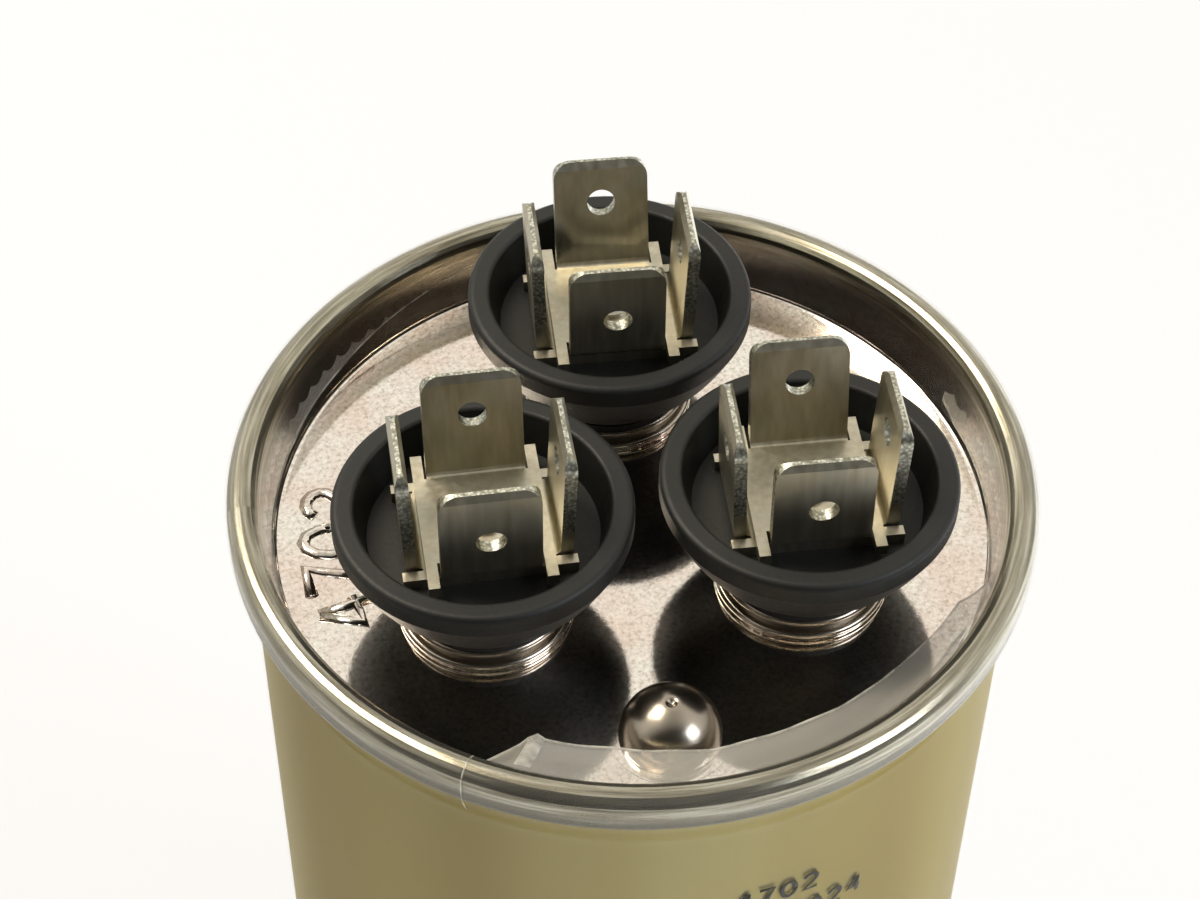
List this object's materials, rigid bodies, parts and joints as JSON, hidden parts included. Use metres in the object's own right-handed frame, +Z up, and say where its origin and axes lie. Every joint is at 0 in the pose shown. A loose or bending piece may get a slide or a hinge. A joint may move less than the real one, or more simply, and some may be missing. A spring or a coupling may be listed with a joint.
{
  "type": "motor run capacitor",
  "caption": "Round canned dual run capacitor with a double-seamed recessed lid, black terminal cups and folded push-on blades, in a clear shrink sleeve.",
  "frame": {"origin": "centre of the standing ring under the can, on the can's axis", "axes": "+Z up the can's axis towards the terminals; +Y through the back terminal, with the lid's dimple on -Y; +X to the right terminal's side"},
  "size_m": [0.0536, 0.0536, 0.1113],
  "materials": {
    "can": "brushed, dull",
    "lid": "bright tinplate",
    "compound": "dull",
    "film": "clear shrink film",
    "cup": "moulded, dull black",
    "gasket": "dull",
    "blade": "tin plated, rolled",
    "rivet": "tin plated",
    "washer": "pressed board",
    "lug": "tin plated",
    "winding": "wound film",
    "spray": "sprayed zinc",
    "insulator": "moulded",
    "core": "extruded",
    "wrap": "kraft",
    "lead_red": "insulated wire",
    "lead_blue": "insulated wire",
    "lead_yellow": "insulated wire"
  },
  "bodies": {
    "root": {"can": "can", "lid": "lid", "seam_compound": "compound", "clear_sleeve": "film", "cup_back": "cup", "cup_left": "cup", "cup_right": "cup", "gasket_back": "gasket", "gasket_left": "gasket", "gasket_right": "gasket", "lower_blades_back": "blade", "lower_blades_left": "blade", "lower_blades_right": "blade", "upper_blades_back": "blade", "upper_blades_left": "blade", "upper_blades_right": "blade", "rivet_back": "rivet", "rivet_left": "rivet", "rivet_right": "rivet", "inner_washer_back": "washer", "inner_washer_left": "washer", "inner_washer_right": "washer", "inner_lug_back": "lug", "inner_lug_left": "lug", "inner_lug_right": "lug", "bottom_insulator": "insulator", "core_tube": "core", "large_winding": "winding", "small_winding": "winding", "large_spray_bottom": "spray", "large_spray_top": "spray", "small_spray_bottom": "spray", "small_spray_top": "spray", "section_insulator": "insulator", "top_insulator": "insulator", "pack_wrap": "wrap", "lead_large": "lead_red", "lead_common": "lead_blue", "lead_small": "lead_yellow"}
  },
  "joints": []
}
